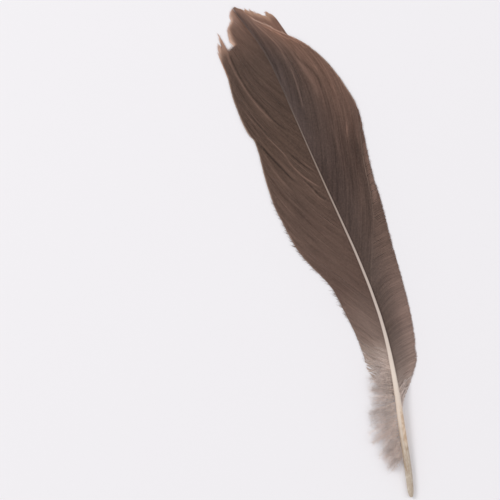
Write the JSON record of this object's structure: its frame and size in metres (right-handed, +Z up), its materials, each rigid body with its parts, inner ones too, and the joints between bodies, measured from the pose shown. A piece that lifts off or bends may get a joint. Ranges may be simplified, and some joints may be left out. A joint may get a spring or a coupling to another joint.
{
  "type": "goose quill feather",
  "caption": "Loose goose wing feather lying upper side up: bare quill, curved tapering shaft, brown-grey vanes and a tuft of pale down at the foot.",
  "frame": {"origin": "centre of the feather's outline, on the surface it lies on", "axes": "+Y from the quill end to the tip along the straight line between them, +Z up out of the upper side, +X to the right seen from above"},
  "size_m": [0.0394, 0.1802, 0.0057],
  "materials": {
    "shaft_horn": "smooth horn, cream on the shaft and translucent tan on the bare quill, with a dull shine",
    "inner_vane_barbs": "hooked barbs in a close sheet, dull brown with an orange-brown tip, paler and greyer at the foot",
    "outer_vane_barbs": "hooked barbs in a close sheet, dark grey-brown beside the shaft and lighter at the margin",
    "down": "loose downy barbs, pale grey with a lavender cast"
  },
  "bodies": {
    "root": {"quill_shaft": "shaft_horn", "inner_vane": "inner_vane_barbs", "outer_vane": "outer_vane_barbs", "inner_down_tuft": "down", "outer_down_tuft": "down"}
  },
  "joints": []
}
